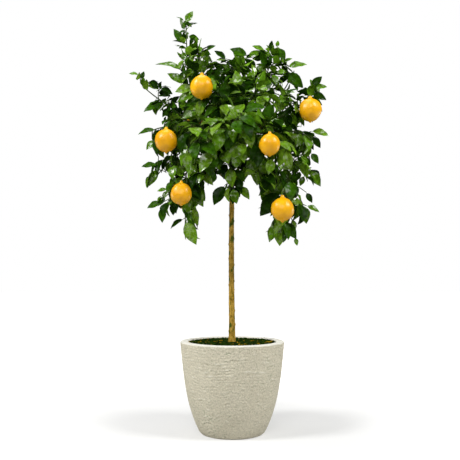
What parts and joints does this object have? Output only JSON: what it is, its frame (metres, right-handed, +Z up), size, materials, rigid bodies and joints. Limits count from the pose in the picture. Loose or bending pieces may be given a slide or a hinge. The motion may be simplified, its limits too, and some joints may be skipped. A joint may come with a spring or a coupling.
{
  "type": "potted meyer lemon tree",
  "caption": "Small standard citrus tree with a slim trunk, a round open crown with hanging lemons, and a round tapering stone-fibre pot filled with mulched soil.",
  "frame": {"origin": "middle of the pot's flat underside, on the floor", "axes": "+Z up along the trunk, +X to the right and -Y towards the side that the picture shows"},
  "size_m": [0.6104, 0.4938, 1.2807],
  "materials": {
    "pot_stone": "rough cast stone with irregular tooled ridges",
    "potting_mix": "dark damp bark mulch",
    "bark": "smooth young tan bark mottled with green",
    "foliage": "glossy evergreen leaves",
    "lemon": "smooth waxy rind with fine pores"
  },
  "bodies": {
    "root": {"pot": "pot_stone", "soil": "potting_mix", "trunk": "bark", "bough_left_drooping": "bark", "bough_right_drooping": "bark", "bough_front_low": "bark", "bough_left_low": "bark", "bough_right_side": "bark", "bough_front_left": "bark", "bough_front_right": "bark", "bough_back_left": "bark", "bough_back_right": "bark", "bough_left_arm": "bark", "bough_right_shoulder": "bark", "bough_front_middle": "bark", "bough_back_middle": "bark", "bough_left_spire": "bark", "bough_right_top": "bark", "bough_left_high": "bark", "bough_right_high": "bark", "bough_back_top": "bark", "bough_left_top": "bark", "bough_left_side": "bark", "bough_left_under": "bark", "bough_right_under": "bark", "bough_right_arm": "bark", "bough_right_low": "bark", "bough_back_left_low": "bark", "bough_back_right_low": "bark", "foliage_left_spire": "foliage", "foliage_left_arm": "foliage", "foliage_left_top": "foliage", "foliage_left_side": "foliage", "foliage_left_low": "foliage", "foliage_left_drooping": "foliage", "foliage_top_middle": "foliage", "foliage_front_middle": "foliage", "foliage_front_left": "foliage", "foliage_front_low": "foliage", "foliage_left_under": "foliage", "foliage_right_under": "foliage", "foliage_front_right": "foliage", "foliage_right_top": "foliage", "foliage_right_shoulder": "foliage", "foliage_right_arm": "foliage", "foliage_right_side": "foliage", "foliage_right_low": "foliage", "foliage_right_drooping": "foliage", "foliage_left_high": "foliage", "foliage_right_high": "foliage", "foliage_back_middle": "foliage", "foliage_back_left": "foliage", "foliage_back_right": "foliage", "foliage_back_left_low": "foliage", "foliage_back_right_low": "foliage", "foliage_back_top": "foliage"}
  },
  "joints": []
}
